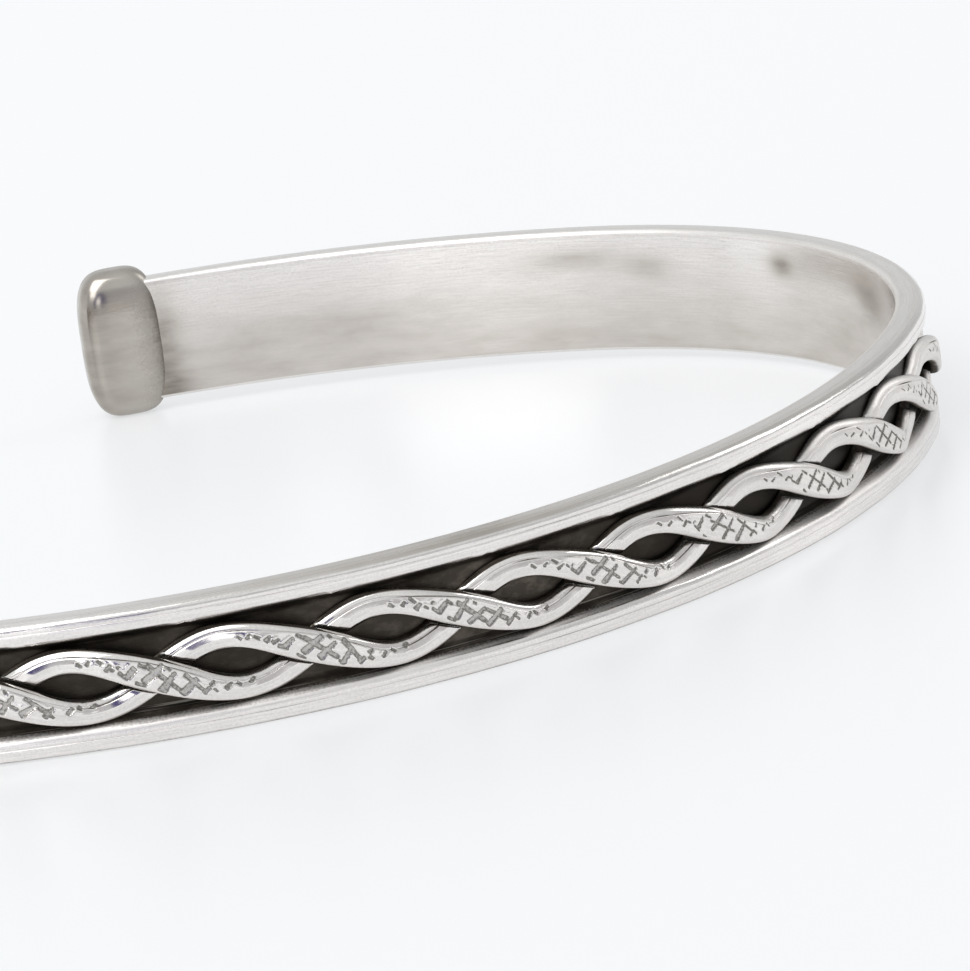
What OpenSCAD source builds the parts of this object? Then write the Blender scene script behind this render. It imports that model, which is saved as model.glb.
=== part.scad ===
// Open cuff bangle of polished silver, lying on its side: a channelled band with
// two raised rims and a thick cross-bar cap on each end, and two flattened wires
// that twist round each other along the channel.
// Lengths are in millimetres. +Z points up along the wrist, the middle of the band
// faces -Y and the gap between the two ends faces +Y.

/* [Band] */
// Height of the band, along the wrist
band_h = 5.3; // [5:0.1:6]
// Thickness of the band, from its inner face to the outer face of the rims
band_t = 1.2; // [1.1:0.05:1.5]
// Depth of the channel below the outer face of the rims
channel_d = 0.65; // [0.6:0.05:0.8]
// Height of each rim
rim_h = 0.8; // [0.7:0.05:0.95]
// Bevel on the inner corners, which makes the cuff comfortable to wear
inner_bevel = 0.22; // [0.1:0.02:0.3]
// Bevel on the outer corners
outer_bevel = 0.1; // [0.05:0.01:0.15]
// Depth of the fine line that runs along the face of each rim
line_d = 0.05; // [0.03:0.01:0.08]

/* [Outline] */
// Radius of the stretch opposite the gap, at the outer face of the rims
back_r = 35; // [33:0.5:38]
// Turn of the back stretch on each side of the middle, in degrees
back_angle = 45; // [42:1:48]
// Radius of the two turns at the sides of the wrist
side_r = 21; // [20:0.2:23]
// Turn of each side, in degrees
side_angle = 80; // [76:1:82]
// Radius of the two stretches that lead to the ends
end_r = 38; // [35:0.5:42]
// Turn of each end stretch, in degrees
end_angle = 34; // [30:1:36]

/* [Twist] */
// Distance along the band from one crossing of the strands to the next
crossing = 6.05; // [5.8:0.05:6.5]
// Distance along the band from its middle to the nearest crossing
crossing_shift = 1.45; // [-2.5:0.05:2.5]
// How far the middle of a strand swings above and below the middle of the twist
swing = 1; // [0.9:0.01:1.02]
// How far the twist lies below the middle of the band
twist_drop = 0.1; // [0:0.01:0.12]
// How much a strand is held back from its swing, so that it runs flatter where it
// passes over the other one
strand_lag = 0.1; // [0:0.01:0.12]
// Width of a strand between two crossings
strand_w = 0.98; // [0.9:0.02:1.04]
// Width of a strand where it passes over the other one
strand_over_w = 1.3; // [1.1:0.05:1.4]
// Thickness of a strand
strand_t = 0.46; // [0.42:0.02:0.6]
// Bevel along the edges of a strand
strand_bevel = 0.15; // [0.12:0.01:0.2]

/* [End caps] */
// Length of a cap along the band
cap_len = 3.5; // [3:0.1:4]
// How far a cap stands above and below the band
cap_over = 0.55; // [0.3:0.05:0.7]
// How far a cap stands out from the outer face of the rims
cap_out = 0.75; // [0.6:0.05:0.9]
// How far a cap stands in from the inner face of the band
cap_in = 0.4; // [0.2:0.05:0.5]
// Rounding of the cap's long edges
cap_round = 1.05; // [0.7:0.05:1.05]
// Rounding of the cap's top and bottom, seen from outside the cuff
cap_end_round = 1.4; // [1:0.05:1.45]

/* [Hidden] */

silver = "silver";
bright_silver = "gainsboro";

// Small gap between the strands, and between a strand and the band
piece_gap = 0.03;

// Overlap of the pieces that the band's sweep is built from, in degrees
lap_angle = 1;

// Side of a box that holds one half of the cuff
half_box = 150;

// Section of a rim, across the band
line_z = 0.42;
line_w = 0.07;
facet_drop = 0.04;
wall_draft = 0.05;

// Centres of the three arcs on the +X side, with the middle of the band's outer
// face at the origin
function toward(angle) = [sin(angle), -cos(angle)];
side_from = back_angle;
end_from = back_angle + side_angle;
back_centre = [0, back_r];
side_centre = back_centre + (back_r - side_r) * toward(side_from);
end_centre = side_centre + (side_r - end_r) * toward(end_from);

// Lengths along the outer face, from the middle of the band
function arc_length(radius, angle) = radius * angle * PI / 180;
function arc_angle(radius, length) = length / radius * 180 / PI;
side_start = arc_length(back_r, back_angle);
end_start = side_start + arc_length(side_r, side_angle);
cap_middle = end_start + arc_length(end_r, end_angle) - cap_len / 2;
cap_heading = end_from + arc_angle(end_r, cap_middle - end_start);
strand_end = cap_middle - cap_len / 2 - piece_gap;

// Point of the plan at a length along the band and a distance out of its face
function plan_right(s, out) =
    s < side_start ? back_centre + (back_r + out) * toward(arc_angle(back_r, s)) :
    s < end_start ? side_centre
        + (side_r + out) * toward(side_from + arc_angle(side_r, s - side_start)) :
    end_centre + (end_r + out) * toward(end_from + arc_angle(end_r, s - end_start));
function plan(s, out) =
    s < 0 ? [-plan_right(-s, out)[0], plan_right(-s, out)[1]] : plan_right(s, out);

// The cuff rests on the lower corner of its middle and on its two caps, so it
// tilts a little about X
cap_t = cap_in + band_t + cap_out;
cap_centre = plan(cap_middle, cap_out - cap_t / 2);
rest_tilt = atan(cap_over / cap_centre[1]);
cap_reach = plan(cap_middle, cap_out)[1] + (cap_len / 2 - cap_round) * sin(cap_heading);

// Twist: angle 0 is the top of a swing, 90 the pass over the other strand
low_out = -channel_d + piece_gap + strand_t / 2;
high_out = low_out + strand_t + piece_gap;
crown_out = high_out + strand_t / 2;
middle_y = (cap_reach - crown_out) / 2;
rise_end = 0.8;
rings_per_crossing = 10;
ring_gap = crossing / rings_per_crossing;
ring_count = floor(2 * strand_end / ring_gap);
function lift(wave) = sign(wave) * sin(90 * min(1, abs(wave) / rise_end));
function strand_z(turn) =
    band_h / 2 - twist_drop + swing * cos(turn) - strand_lag * sin(2 * turn);
function strand_out(turn) =
    (low_out + high_out) / 2 + (high_out - low_out) / 2 * lift(sin(turn));
function strand_slope(turn) =
    atan(-(swing * sin(turn) + 2 * strand_lag * cos(2 * turn)) * PI / crossing);
function strand_half_w(turn) =
    strand_w / 2 + (strand_over_w - strand_w) / 2 * pow(max(0, sin(turn)), 2);

// Corners of a strand's section: [across the strand, out of the band]
function strand_section(half_w) = [
    [half_w, strand_t / 2 - strand_bevel],
    [half_w - strand_bevel, strand_t / 2],
    [strand_bevel - half_w, strand_t / 2],
    [-half_w, strand_t / 2 - strand_bevel],
    [-half_w, strand_bevel - strand_t / 2],
    [strand_bevel - half_w, -strand_t / 2],
    [half_w - strand_bevel, -strand_t / 2],
    [half_w, strand_bevel - strand_t / 2]
];

// One ring of a strand, square to its run along the face of the band, or flat
// against the cap at its two ends
function strand_ring(s, turn) = [
    for (corner = strand_section(strand_half_w(turn)))
        let (
            squareness = min(1, (strand_end - abs(s)) / ring_gap),
            along = s - corner[0] * sin(strand_slope(turn)) * squareness,
            up = strand_z(turn) + corner[0] * cos(strand_slope(turn)),
            place = plan(along, strand_out(turn) + corner[1])
        )
        [place[0], place[1], up]
];

// Lays the cuff down as it rests by itself, with its box centred on the origin
module lying() {
    translate([0, -middle_y, 0])
        rotate([rest_tilt, 0, 0])
            children();
}

// Lower half of the band's section, from the inner face to the channel's floor:
// [out of the rims' face, height]
function lower_section() = [
    [-band_t, inner_bevel],
    [inner_bevel - band_t, 0],
    [-outer_bevel, 0],
    [-facet_drop, outer_bevel],
    [0, line_z - line_w / 2],
    [-line_d, line_z],
    [0, line_z + line_w / 2],
    [-facet_drop, rim_h],
    [-channel_d, rim_h + wall_draft]
];

module band_section() {
    lower = lower_section();
    upper = [for (k = [len(lower) - 1:-1:0]) [lower[k][0], band_h - lower[k][1]]];
    polygon(concat(lower, upper));
}

// Sweeps the band's section round one arc, between two angles about its centre
module band_arc(radius, from, turn) {
    rotate_extrude(angle = turn, start = from, $fn = 360)
        translate([radius, 0])
            band_section();
}

// The +X half of the band, cut off at its middle. Both stretches turn from the middle
// of the side arc by half of that arc, one way or the other, so that two arcs meet on
// their local X axis and the two stretches overlap a little on one centre.
module band_half() {
    intersection() {
        translate([0, -half_box / 2, -half_box / 2])
            cube(half_box);
        translate([side_centre[0], side_centre[1], 0])
            rotate([0, 0, side_from + side_angle / 2 - 90]) {
                rotate([0, 0, -side_angle / 2])
                    back_stretch();
                rotate([0, 0, side_angle / 2])
                    end_stretch();
            }
    }
}

module back_stretch() {
    band_arc(side_r, 0, side_angle / 2 + lap_angle);
    translate([side_r - back_r, 0, 0])
        band_arc(back_r, -back_angle - lap_angle, back_angle + lap_angle);
}

module end_stretch() {
    band_arc(side_r, -side_angle / 2, side_angle / 2);
    translate([side_r - end_r, 0, 0])
        band_arc(end_r, 0, cap_heading - end_from);
}

module rounded_rectangle(width, height, radius) {
    square([width - 2 * radius, height], center = true);
    square([width, height - 2 * radius], center = true);
    for (x = [-1, 1], y = [-1, 1])
        translate([x * (width / 2 - radius), y * (height / 2 - radius)])
            circle(radius, $fn = 96);
}

// Cap as a pillow with rounded edges, its length along X and its outer side at -Y
module end_cap() {
    cap_h = band_h + 2 * cap_over;
    spare = 1;
    intersection() {
        linear_extrude(cap_h + spare, center = true)
            rounded_rectangle(cap_len, cap_t, cap_round);
        rotate([90, 0, 0])
            linear_extrude(cap_t + spare, center = true)
                rounded_rectangle(cap_len, cap_h, cap_end_round);
        rotate([90, 0, 90])
            linear_extrude(cap_len + spare, center = true)
                rounded_rectangle(cap_t, cap_h, cap_round);
    }
}

module placed_cap() {
    translate([cap_centre[0], cap_centre[1], band_h / 2])
        rotate([0, 0, cap_heading])
            end_cap();
}

// Band, rims and caps are soldered together and make one solid
module cuff_band() {
    color(silver)
        lying() {
            for (side = [0, 1])
                mirror([side, 0, 0]) {
                    band_half();
                    placed_cap();
                }
        }
}

// One flattened wire of the twist; the other one is half a turn behind
module strand(crossing_turn) {
    stations = [for (k = [0:ring_count]) -strand_end + 2 * strand_end * k / ring_count];
    rings = [
        for (s = stations)
            strand_ring(s, crossing_turn + 180 * (s - crossing_shift) / crossing)
    ];
    sides = len(rings[0]);
    last = ring_count * sides;
    points = [for (ring = rings) each ring];
    walls = [
        for (k = [0:ring_count - 1], j = [0:sides - 1])
            let (a = k * sides + j, b = k * sides + (j + 1) % sides)
            each [[a, b + sides, b], [a, a + sides, b + sides]]
    ];
    start_face = [for (j = [0:sides - 1]) j];
    end_face = [for (j = [sides - 1:-1:0]) last + j];
    polyhedron(points, concat(walls, [start_face, end_face]));
}

module braid_strand_a() {
    color(bright_silver)
        lying()
            strand(90);
}

module braid_strand_b() {
    color(bright_silver)
        lying()
            strand(270);
}

cuff_band();
braid_strand_a();
braid_strand_b();
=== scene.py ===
import math

import bpy
import numpy as np
from mathutils import Matrix, Vector


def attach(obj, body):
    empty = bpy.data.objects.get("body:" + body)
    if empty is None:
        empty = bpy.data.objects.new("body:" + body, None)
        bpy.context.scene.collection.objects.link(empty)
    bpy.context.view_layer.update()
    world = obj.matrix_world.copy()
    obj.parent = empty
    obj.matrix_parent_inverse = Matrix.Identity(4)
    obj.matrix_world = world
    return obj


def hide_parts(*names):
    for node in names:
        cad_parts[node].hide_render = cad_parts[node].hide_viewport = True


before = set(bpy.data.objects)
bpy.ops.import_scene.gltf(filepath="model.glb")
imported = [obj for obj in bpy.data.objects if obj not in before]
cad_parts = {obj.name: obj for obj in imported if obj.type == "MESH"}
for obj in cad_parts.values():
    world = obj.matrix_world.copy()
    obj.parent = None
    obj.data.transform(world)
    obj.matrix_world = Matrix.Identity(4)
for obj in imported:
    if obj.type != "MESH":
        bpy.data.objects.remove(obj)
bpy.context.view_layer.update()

# The looks of an open cuff bangle of silver: the band with its rims, dark channel and
# end caps, and the two flattened wires of the twist with their stamped hatching.
# Lengths are in millimetres until a mesh is made, and the names repeat those of the
# part's own source. A point of the band is given by its length along the outer face,
# its distance out of that face, and its height. Colours are linear.

MM = 0.001

# Band and its outline in plan
BAND_H = 5.3
BAND_T = 1.2
CHANNEL_D = 0.65
RIM_H = 0.8
BACK_R, BACK_TURN = 35.0, math.radians(45)
SIDE_R, SIDE_TURN = 21.0, math.radians(80)
END_R, END_TURN = 38.0, math.radians(34)
OUTLINE_STEP = 0.02
ARC_BLEND = 5.0
BAND_RINGS = 601

# Twist
CROSSING = 6.05
CROSSING_SHIFT = 1.45
SWING = 1.0
TWIST_DROP = 0.1
STRAND_LAG = 0.1
STRAND_W = 0.98
STRAND_OVER_W = 1.3
STRAND_UNDER_W = 1.16
STRAND_T = 0.46
PIECE_GAP = 0.03

# End caps
CAP_LEN = 3.5
CAP_OVER = 0.55
CAP_OUT = 0.75
CAP_IN = 0.4
CAP_ROUND = 1.05
CAP_T = CAP_IN + BAND_T + CAP_OUT

# Lengths along the outer face from the middle of the band
SIDE_START = BACK_R * BACK_TURN
END_START = SIDE_START + SIDE_R * SIDE_TURN
CAP_MIDDLE = END_START + END_R * END_TURN - CAP_LEN / 2
CAP_EDGE = CAP_MIDDLE - CAP_LEN / 2
STRAND_END = CAP_EDGE - PIECE_GAP


def outline_table():
    """Lengths, headings and points of the outer face, with the curvature eased between the arcs."""
    s = np.arange(0, CAP_MIDDLE + CAP_LEN, OUTLINE_STEP)
    radius = np.where(s < SIDE_START, BACK_R, np.where(s < END_START, SIDE_R, END_R))
    half = int(ARC_BLEND / 2 / OUTLINE_STEP)
    window = np.hanning(2 * half + 1)
    padded = np.concatenate([np.full(half, 1 / BACK_R), 1 / radius, np.full(half, 1 / END_R)])
    bend = np.convolve(padded, window / window.sum(), mode="valid")
    heading = np.concatenate([[0], np.cumsum((bend[1:] + bend[:-1]) / 2 * OUTLINE_STEP)])
    middle = (heading[1:] + heading[:-1]) / 2
    x = np.concatenate([[0], np.cumsum(np.cos(middle) * OUTLINE_STEP)])
    y = np.concatenate([[0], np.cumsum(np.sin(middle) * OUTLINE_STEP)])
    return s, heading, x, y


LENGTHS, HEADINGS, OUTLINE_X, OUTLINE_Y = outline_table()


def plan(s, out):
    """Points of the plan, as x and y, at lengths s and distances out of the outer face."""
    length = np.abs(s)
    heading = np.interp(length, LENGTHS, HEADINGS)
    x = np.interp(length, LENGTHS, OUTLINE_X) + out * np.sin(heading)
    y = np.interp(length, LENGTHS, OUTLINE_Y) - out * np.cos(heading)
    return np.where(s < 0, -x, x), y


# The cuff lies on the lower corner of its middle and on its two caps
CAP_X, CAP_Y = (float(v) for v in plan(CAP_MIDDLE, CAP_OUT - CAP_T / 2))
CAP_HEADING = float(np.interp(CAP_MIDDLE, LENGTHS, HEADINGS))
REST_TILT = math.atan(CAP_OVER / CAP_Y)
CROWN_OUT = -CHANNEL_D + 2 * PIECE_GAP + 2 * STRAND_T
CAP_FACE_Y = float(plan(CAP_MIDDLE, CAP_OUT)[1])
CAP_REACH = CAP_FACE_Y + (CAP_LEN / 2 - CAP_ROUND) * math.sin(CAP_HEADING)
MIDDLE_Y = (CAP_REACH - CROWN_OUT) / 2


def lying(x, y, z):
    """Points of the cuff as it lies by itself, in metres."""
    c, s = math.cos(REST_TILT), math.sin(REST_TILT)
    return np.stack([x, y * c - z * s - MIDDLE_Y, y * s + z * c], -1) * MM


def loft(name, points, uv, attributes):
    """A mesh through rings of points, an array of rings by points by three, with its ends closed."""
    rings, sides = points.shape[:2]
    index = np.arange(rings * sides).reshape(rings, sides)
    after = np.roll(index, -1, axis=1)
    quads = np.stack([index[:-1], after[:-1], after[1:], index[1:]], -1).reshape(-1, 4)
    faces = quads.tolist() + [index[0][::-1].tolist(), index[-1].tolist()]
    mesh = bpy.data.meshes.new(name)
    mesh.from_pydata(points.reshape(-1, 3).tolist(), [], faces)
    mesh.polygons.foreach_set("use_smooth", [True] * len(quads) + [False, False])
    vertex = np.zeros(len(mesh.loops), np.int32)
    mesh.loops.foreach_get("vertex_index", vertex)
    layer = mesh.uv_layers.new(name="run")
    layer.data.foreach_set("uv", uv.reshape(-1, 2)[vertex].astype(np.float32).ravel())
    for key, values in attributes.items():
        layer = mesh.attributes.new(key, "FLOAT", "POINT")
        layer.data.foreach_set("value", values.astype(np.float32).ravel())
    mesh.update()
    piece = bpy.data.objects.new(name, mesh)
    bpy.context.scene.collection.objects.link(piece)
    return piece


def ripple(s, waves):
    """A slow hand-made unevenness along the band: a sum of sines, as (size, length, phase)."""
    return sum(size * np.sin(2 * math.pi * s / length + phase) for size, length, phase in waves)


def from_table(s, table):
    """A value from a table of places and values, in straight steps between its rows."""
    places, values = zip(*table)
    return np.interp(s, places, values)


def hump(distance, reach):
    """One at no distance, fading smoothly to nothing beyond the reach."""
    return np.exp(-((distance / reach) ** 2))


def from_nearest(s, first, every):
    """Distance along the band from the nearest of a row of places."""
    return (s - first + every / 2) % every - every / 2


def between(value, low, high):
    return (value > low) & (value < high)


# The band's section is drawn in halves, from the underside or the top round the rim to the
# middle of the channel. Each point has its distance out of the face, its height from the
# underside or the top, and how dark the oxide and painted shade are. The upper edge is the
# rounder one, and has a fine line on it.
# The dark values at the lower edge's rounding are painted shadow where the band meets the floor.
LOW_EDGE = (
    (-0.7, 0.0, 0.0), (-0.4, 0.0, 0.0), (-0.2, 0.0, 0.0), (-0.12, 0.003, 0.1),
    (-0.07, 0.016, 0.42), (-0.035, 0.043, 0.55), (-0.02, 0.085, 0.25), (-0.014, 0.13, 0.0),
)
HIGH_EDGE = (
    (-0.8, 0.0, 0.0), (-0.6, 0.0, 0.0), (-0.46, 0.006, 0.0), (-0.36, 0.019, 0.2),
    (-0.33, 0.026, 0.6), (-0.3, 0.032, 0.05), (-0.24, 0.05, 0.0), (-0.16, 0.088, 0.0),
    (-0.09, 0.138, 0.0), (-0.045, 0.19, 0.0), (-0.02, 0.25, 0.0), (-0.012, 0.31, 0.0),
)

# Height of the fine line on each rim's face, and the points whose height counts from it
LOW_LINE = 0.47
HIGH_LINE = 0.43
BY_THE_LINE = (
    (-0.009, -0.08, 0.0), (-0.004, -0.03, 0.0), (-0.008, -0.018, 0.2), (-0.02, -0.006, 0.5),
    (-0.02, 0.006, 0.5), (-0.006, 0.018, 0.2), (-0.001, 0.035, 0.0),
)
FACE = ((-0.002, 0.57, 0.0), (-0.007, 0.645, 0.0), (-0.018, 0.71, 0.0))

# The brow between the face and the channel, with a share of the half's added oxide, and
# the wall down to the channel's floor, with all of it
BROW = ((-0.036, 0.762, 0.25), (-0.066, 0.81, 0.6), (-0.105, 0.85, 1.0))
WALL = (
    (-0.17, 0.9, 0.12), (-0.25, 0.95, 0.32), (-0.34, 1.0, 0.56), (-0.43, 1.05, 0.76),
    (-0.505, 1.095, 0.82), (-0.565, 1.14, 0.86), (-0.61, 1.195, 0.92), (-0.64, 1.27, 1.0),
)
FLOOR_START, FLOOR_POINTS = 1.36, 6
LOW_ADDED, HIGH_ADDED = 0.0, 0.6

# Inner face: its lowest point above the corner, the rounding of the corner, points of each
INNER_FOOT, INNER_ROUND, INNER_POINTS = 0.34, 0.22, 7


def half_section(edge, line_at, added):
    """Points of one half of the band's outer side."""
    points = list(edge)
    points += [(out, line_at + up, oxide_and_shade) for out, up, oxide_and_shade in BY_THE_LINE]
    points += FACE
    points += [(out, up, share * added) for out, up, share in BROW]
    points += [(out, up, min(1, oxide_and_shade + added)) for out, up, oxide_and_shade in WALL]
    points += [(-CHANNEL_D, up, 1.0) for up in np.linspace(FLOOR_START, BAND_H / 2, FLOOR_POINTS)]
    return np.array(points)


def inner_half():
    """Points of the lower half of the band's inner face, from its middle to the underside."""
    wall = [(-BAND_T, up, 0.0) for up in np.linspace(BAND_H / 2, INNER_FOOT, INNER_POINTS)]
    corner = [
        (-BAND_T + INNER_ROUND * (1 - math.cos(a)), INNER_ROUND * (1 - math.sin(a)), 0.0)
        for a in np.linspace(0, math.pi / 2, INNER_POINTS)
    ]
    return np.array(wall + corner)


def upside_down(points):
    return points[::-1] * [1, -1, 1] + [0, BAND_H, 0]


# Bounds of the parts of the section: distances out of the face, and heights
LINE_REACH, LINE_DEEPEST = 0.025, -0.03
TOP_LINE_OUT, TOP_LINE_UP = (-0.37, -0.29), 0.04
RUBBED_OUT, RUBBED_UP = (-0.22, -0.02), (0.7, 0.95)
SCRATCHED_UP = (0.85, 1.3)
SHADED_UP = (0.78, 1.2)
SHADE_WALL_FROM = 0.9
GOUGED_FROM = 0.83
BROW_DEEPEST = -0.12
LIP_DEEPEST = -CHANNEL_D + 0.05
CORNER_OUT, CORNER_UP = -0.9, 0.25
INNER_SKIN = 0.02
TOP_UP = 0.15


class Section:
    """The points round the band, and which part of it each of them belongs to."""

    def __init__(self):
        low = half_section(LOW_EDGE, LOW_LINE, LOW_ADDED)
        high = half_section(HIGH_EDGE, HIGH_LINE, HIGH_ADDED)
        inner = inner_half()
        rows = [low, upside_down(high)[1:], upside_down(inner)[:-1], inner]
        out, z, self.oxide_and_shade = np.concatenate(rows).T
        upper = z > BAND_H / 2
        height = np.where(upper, BAND_H - z, z)
        lower_outside = ~upper & (out > -CHANNEL_D - PIECE_GAP)
        line_at = np.where(upper, HIGH_LINE, LOW_LINE)
        self.out, self.z, self.upper, self.height = out, z, upper, height
        self.top_line = upper & (height < TOP_LINE_UP) & between(out, *TOP_LINE_OUT)
        face_line = (out > LINE_DEEPEST) & (np.abs(height - line_at) < LINE_REACH)
        self.line = face_line | self.top_line
        self.rubbed = between(out, *RUBBED_OUT) & between(height, *RUBBED_UP)
        self.scratched = lower_outside & between(z, *SCRATCHED_UP)
        self.shaded = lower_outside & between(z, *SHADED_UP)
        self.gouged = lower_outside & (z > GOUGED_FROM)
        self.brow = ~upper & (out > BROW_DEEPEST)
        self.lip = out > LIP_DEEPEST
        self.corner = upper & (out < CORNER_OUT) & (height < CORNER_UP)
        self.inner = out < -BAND_T + INNER_SKIN
        self.top = upper & ~self.inner & (height < TOP_UP)


# Hand-made unevenness of the lower and the upper rim, as waves along the band: how far the
# face wavers, and how far the lip beside the channel rises. The face lies a little inside
# its outline.
FACE_WAVES = (
    ((0.010, 7.7, 2.4), (0.007, 4.7, 0.3), (0.004, 2.2, 3.0)),
    ((0.010, 9.3, 0.4), (0.007, 4.1, 2.0), (0.004, 1.9, 1.1)),
)
LIP_WAVES = (
    ((0.012, 11.0, 0.1), (0.006, 4.9, 2.2)),
    ((0.012, 13.0, 1.0), (0.006, 5.3, 0.2)),
)
FACE_OUT, FACE_REACH, FACE_INSIDE = -0.02, 0.12, 0.012
LIP_REACH = 0.12

# Burrs on the upper rim's lip, beside the bend that a strand makes this far past each
# crossing: place from the bend, reach along the band, and share of the depth
HIGH_BEND = 0.9
BURRS = ((0.0, 0.25, 1.0), (0.55, 0.16, 0.6))
BURR_DEPTH = 0.07
BURR_SHINE = 1.1

# How clear the fine lines are along the band, and where the one on top is clearest
LINE_CLEAR = ((2, 1.0), (14, 0.4))
LINE_MIDDLE, LINE_WAVES, LINE_FAINTEST = 0.7, ((0.3, 17.0, 0.6), (0.25, 6.3, 2.0)), 0.1
TOP_LINE_AT, TOP_LINE_LENGTH, TOP_LINE_ADDED = -4.0, 3.5, 0.7

# On the channel's lower wall: painted shade beside the lower bend past each crossing, where
# the strand comes down close to it, and the rest of the wall a little lighter; oxide, darker
# towards the left; and a dark gouge along its upper border on one stretch
LOW_BEND, LOW_BEND_REACH, LOW_BEND_SHADE, WALL_LESS = 3.0, 1.1, 0.2, 0.06
LEFT_OXIDE = ((-15, 1.0), (-10, 0.8), (0, 0.6), (4, 0.0))
LEFT_ADDED, LEFT_WALL_FROM, LEFT_BROW_TO = 0.4, 0.92, -9
GOUGE = ((-7.0, 0.0), (-6.0, 0.5), (-4.0, 0.7), (-2.4, 1.1), (-2.0, 0.0))
GOUGE_UP, GOUGE_TALL = 0.853, 0.03

# The channel is blackest towards the right, and less so at the left: oxide above one
# tells how black it is
BLACK = ((-14, 0.6), (-8, 0.3), (-2, 0.0), (7, 1.0))
BLACK_FROM, BLACK_ADDED = 0.85, 0.5

# Satin wear on the lower rim's brow, along the band, and on the upper inner corner
BROW_WEAR = ((-12, 1.0), (-6, 0.8), (2, 0.0), (6, 0.0), (13, 1.0))
BROW_UP, BROW_TALL = 0.79, 0.16
CORNER_WEAR = 0.8

# Tarnish on the rim's top; painted shade on the inner face, which grows towards the lower
# edge; and painted shadow on the inner face beside the caps. Above one the silver is darkest.
TOP_DULL = ((-20, 0), (-8, 0.95), (-3, 1.35), (1, 0.7), (14, 0.55), (30, 0.3), (60, 0))
INNER_SHADE, INNER_BRIGHT_FROM = 1.15, 0.8
CAP_SHADOW_LOW, CAP_SHADOW_HIGH, CAP_SHADOW_REACH = (3.0, 1.1), (4.8, 0.5), 0.8
MOST_TARNISH_AND_SHADE = 2.0

# Dark patches on the inner face: length along the band, reach, height, reach, strength
INNER_DARK_PATCHES = (
    (57.2, 2.6, 4.1, 0.45, 0.85), (53.5, 1.2, 3.7, 0.45, 0.85), (45.7, 0.8, 4.1, 0.5, 1.5),
    (42.3, 3.0, 4.4, 0.7, 0.9), (37.8, 1.8, 3.8, 1.2, 1.2), (39.5, 4.0, 2.0, 1.6, 0.35),
    (69.0, 5.0, 2.2, 0.9, 0.4),
)


def band_burrs(ring, s):
    from_bend = from_nearest(s, CROSSING_SHIFT + HIGH_BEND, CROSSING)
    burrs = sum(share * hump(from_bend - at, reach) for at, reach, share in BURRS)
    return np.where(ring.upper, burrs, 0)


def band_points(ring, s, burrs):
    """Points of the band, with its unevenness and its burrs."""
    waver = np.where(ring.upper, ripple(s, FACE_WAVES[1]), ripple(s, FACE_WAVES[0]))
    rise = np.where(ring.upper, ripple(s, LIP_WAVES[1]), ripple(s, LIP_WAVES[0]))
    rim = hump(ring.out - FACE_OUT, FACE_REACH)
    lip = hump(ring.height - RIM_H, LIP_REACH) * ring.lip
    x, y = plan(s + 0 * ring.out, ring.out + rim * (waver - FACE_INSIDE))
    return lying(x, y, ring.z + lip * (rise - BURR_DEPTH * burrs))


def band_oxide_and_shade(ring, s, burrs):
    """How dark the oxide and painted shade are: painted shadow at the lower edge, painted shade on the
    wall beside each low bend, and oxide. The burrs are rubbed bright, and the fine lines come and go.
    """
    shows = np.clip(LINE_MIDDLE + ripple(s, LINE_WAVES), LINE_FAINTEST, 1)
    clear = from_table(s, LINE_CLEAR) * shows
    clear = clear + np.where(ring.top_line, TOP_LINE_ADDED, 0) * hump(s - TOP_LINE_AT, TOP_LINE_LENGTH)
    rubbed = np.where(ring.rubbed, burrs, 0)
    oxide_and_shade = ring.oxide_and_shade * np.where(ring.line, clear, 1.0) * np.clip(1 - BURR_SHINE * rubbed, 0, 1)
    black = np.where(oxide_and_shade > BLACK_FROM, BLACK_ADDED, 0) * from_table(s, BLACK)
    from_bend = from_nearest(s, CROSSING_SHIFT + LOW_BEND, CROSSING)
    # painted shade on the wall beside each low bend, and the rest of the wall a little lighter
    shade_wall = ring.scratched & (ring.z > SHADE_WALL_FROM)
    shade_and_oxide = shade_wall * (LOW_BEND_SHADE * hump(from_bend, LOW_BEND_REACH) - WALL_LESS)
    left = from_table(s, LEFT_OXIDE) * np.where(ring.z > LEFT_WALL_FROM, 1, s < LEFT_BROW_TO)
    shade_and_oxide = shade_and_oxide + np.where(ring.shaded, LEFT_ADDED, 0) * left
    gouge = hump(ring.z - GOUGE_UP, GOUGE_TALL) * ring.gouged
    shade_and_oxide = shade_and_oxide + gouge * from_table(s, GOUGE)
    return np.clip(oxide_and_shade + shade_and_oxide, 0, 1) + black


def band_wear(ring, s):
    """Where the silver is satin: in the scratches, the fine lines, the brow and the inner corner."""
    brow = np.where(ring.brow, hump(ring.z - BROW_UP, BROW_TALL), 0) * from_table(s, BROW_WEAR)
    worn = np.where(ring.scratched | ring.line, 1.0, np.where(ring.corner, CORNER_WEAR, 0.0))
    return np.maximum(worn, brow)


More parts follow.
